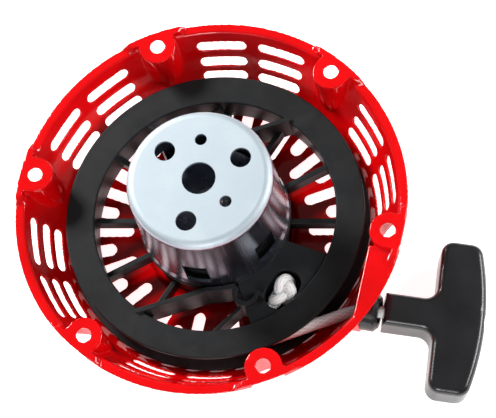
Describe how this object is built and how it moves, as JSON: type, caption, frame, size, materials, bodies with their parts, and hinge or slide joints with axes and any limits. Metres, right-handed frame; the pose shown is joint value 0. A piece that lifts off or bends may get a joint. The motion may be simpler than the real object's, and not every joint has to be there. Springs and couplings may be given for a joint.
{
  "type": "recoil starter",
  "caption": "Recoil starter: slotted red pressed-steel housing with a black rope reel, bright starter cup, white rope and black T-grip.",
  "frame": {"origin": "on the reel's axis, in the mounting plane of the six ears", "axes": "+Z along the axis towards the engine, +X through a mounting hole on the side where the rope leaves"},
  "size_m": [0.235, 0.1914, 0.0714],
  "materials": {
    "red_paint": "gloss",
    "black_plastic": "satin",
    "grip_plastic": "satin",
    "black_ferrule": "gloss",
    "zinc": "satin",
    "steel": "satin",
    "spring_steel": "satin",
    "rope": "matte"
  },
  "bodies": {
    "case": {"case_shell": "red_paint", "center_post": "steel", "rope_guide": "black_ferrule", "rope_lead": "rope", "thrust_washer": "steel", "setting_screw": "steel"},
    "reel": {"reel": "black_plastic", "recoil_spring": "spring_steel", "rope_wound": "rope", "reel_knot": "rope", "ratchet_spring_a": "spring_steel", "ratchet_spring_b": "spring_steel", "friction_spring": "spring_steel"},
    "drag_plate": {"ratchet_guide": "zinc"},
    "pawl_a": {"ratchet_a": "black_plastic"},
    "pawl_b": {"ratchet_b": "black_plastic"},
    "cup": {"starter_cup": "zinc"},
    "neck": {"rope_neck": "rope"},
    "handle": {"grip": "grip_plastic", "rope_tail": "rope", "grip_knot": "rope", "grip_washer": "steel"}
  },
  "joints": [
    {"name": "reel_spin", "type": "hinge", "parent": "case", "child": "reel", "pos_m": [0, 0, -0.0219], "axis": [0, 0, 1], "range_deg": [0, 720], "stiffness_Nm_per_rad": 0.03, "springref_deg": -343.77, "deforming": ["recoil_spring"]},
    {"name": "handle_pull", "type": "slide", "parent": "case", "child": "neck", "axis": [0.9956, 0.0941, 0], "range_m": [0, 0.8658]},
    {"name": "grip_swing", "type": "hinge", "parent": "neck", "child": "handle", "pos_m": [0.089, -0.03384, -0.0219], "axis": [0.0941, -0.9956, 0], "range_deg": [0, 12]},
    {"name": "guide_drag", "type": "hinge", "parent": "reel", "child": "drag_plate", "pos_m": [0, 0, -0.0068], "axis": [0, 0, -1], "range_deg": [0, 25]},
    {"name": "pawl_a_swing", "type": "hinge", "parent": "reel", "child": "pawl_a", "pos_m": [0.02124, 0.00336, -0.0105], "axis": [0, 0, -1], "range_deg": [0, 30]},
    {"name": "pawl_b_swing", "type": "hinge", "parent": "reel", "child": "pawl_b", "pos_m": [-0.02124, -0.00336, -0.0105], "axis": [0, 0, -1], "range_deg": [0, 30]},
    {"name": "cup_lift", "type": "slide", "parent": "reel", "child": "cup", "axis": [0, 0, 1], "range_m": [0, 0.06]}
  ],
  "couplings": [
    {"joint": "handle_pull", "follows": "reel_spin", "m_per_rad": 0.0689},
    {"joint": "pawl_a_swing", "follows": "guide_drag", "ratio": 1.2},
    {"joint": "pawl_b_swing", "follows": "guide_drag", "ratio": 1.2}
  ]
}
